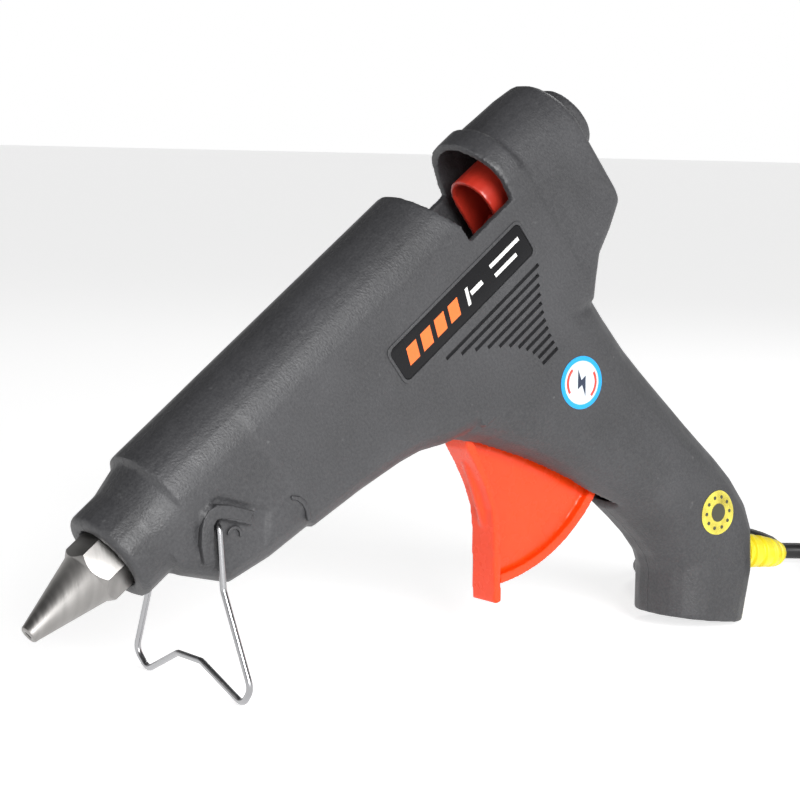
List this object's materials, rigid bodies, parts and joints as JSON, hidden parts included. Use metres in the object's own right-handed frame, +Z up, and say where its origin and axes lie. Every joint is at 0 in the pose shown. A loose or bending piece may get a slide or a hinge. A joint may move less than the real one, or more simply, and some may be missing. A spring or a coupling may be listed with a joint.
{
  "type": "hot glue gun",
  "caption": "Pistol-shaped hot glue gun with a hex nozzle, sprung trigger, sliding stick feed, folding wire stand and coiled mains cord.",
  "frame": {"origin": "on the ground under the middle of the gun without its free cord, the gun standing nose down on its wire stand and handle", "axes": "+X towards the handle and cord, -X towards the nozzle, -Y towards the gun's left side, +Z up"},
  "size_m": [0.3439, 0.1073, 0.144],
  "materials": {
    "shell": "dark charcoal fine-textured ABS",
    "nozzle": "machined aluminium alloy",
    "chamber": "cast aluminium",
    "ceramic": "PTC ceramic",
    "electrode": "brass strip",
    "film": "amber insulating film",
    "steel": "bright drawn steel",
    "silicone": "translucent silicone",
    "feeder": "red moulded plastic",
    "trigger": "glossy orange-red plastic",
    "relief": "yellow flexible plastic",
    "cord": "black cord jacket",
    "clamp": "black nylon",
    "lead_red": "brown-red lead insulation",
    "lead_blue": "blue lead insulation",
    "label": null,
    "sticker": "printed sticker, blue ring and pale centre",
    "foil": "gold foil sticker",
    "plug_pin": "plated brass"
  },
  "bodies": {
    "gun": {"left_shell": "shell", "right_shell": "shell", "nozzle": "nozzle", "melt_chamber": "chamber", "ptc_heater": "ceramic", "electrode_upper": "electrode", "electrode_lower": "electrode", "heater_wrap": "film", "heater_clip": "steel", "inlet_sleeve": "silicone", "sleeve_clamp": "steel", "trigger_pin": "steel", "return_spring": "steel", "strain_relief": "relief", "cord_tail": "cord", "cord_clamp": "clamp", "clamp_screw_1": "steel", "clamp_screw_2": "steel", "lead_live": "lead_red", "lead_neutral": "lead_blue", "label_plate": "label", "power_sticker": "sticker", "foil_sticker": "foil", "power_cord": "cord", "cord_coil": "cord", "coil_tie": "cord", "plug_body": "clamp", "plug_pin_1": "plug_pin", "plug_pin_2": "plug_pin", "shell_screw_1": "steel", "shell_screw_2": "steel", "shell_screw_3": "steel", "shell_screw_4": "steel", "shell_screw_5": "steel"},
    "trigger": {"trigger": "trigger", "drive_pin": "steel"},
    "carriage": {"feed_carriage": "feeder", "grip_pin": "steel"},
    "lever": {"grip_lever": "feeder"},
    "stand": {"wire_stand": "steel"}
  },
  "joints": [
    {"name": "trigger_squeeze", "type": "hinge", "parent": "gun", "child": "trigger", "pos_m": [0.00467, 0, 0.06286], "axis": [0, -1, 0], "range_deg": [0, 20], "stiffness_Nm_per_rad": 0.6, "springref_deg": -14.32, "deforming": ["return_spring"]},
    {"name": "carriage_slide", "type": "slide", "parent": "gun", "child": "carriage", "axis": [-0.7875, 0, -0.6163], "range_m": [0, 0.0105]},
    {"name": "grip_tilt", "type": "hinge", "parent": "carriage", "child": "lever", "pos_m": [0.02101, 0, 0.11514], "axis": [0, 1, 0], "range_deg": [0, 8.1]},
    {"name": "stand_fold", "type": "hinge", "parent": "gun", "child": "stand", "pos_m": [-0.08075, 0, 0.04127], "axis": [0, -1, 0], "range_deg": [0, 70]}
  ],
  "couplings": [
    {"joint": "carriage_slide", "follows": "trigger_squeeze", "m_per_rad": 0.0295},
    {"joint": "grip_tilt", "follows": "trigger_squeeze", "ratio": 0.4}
  ]
}
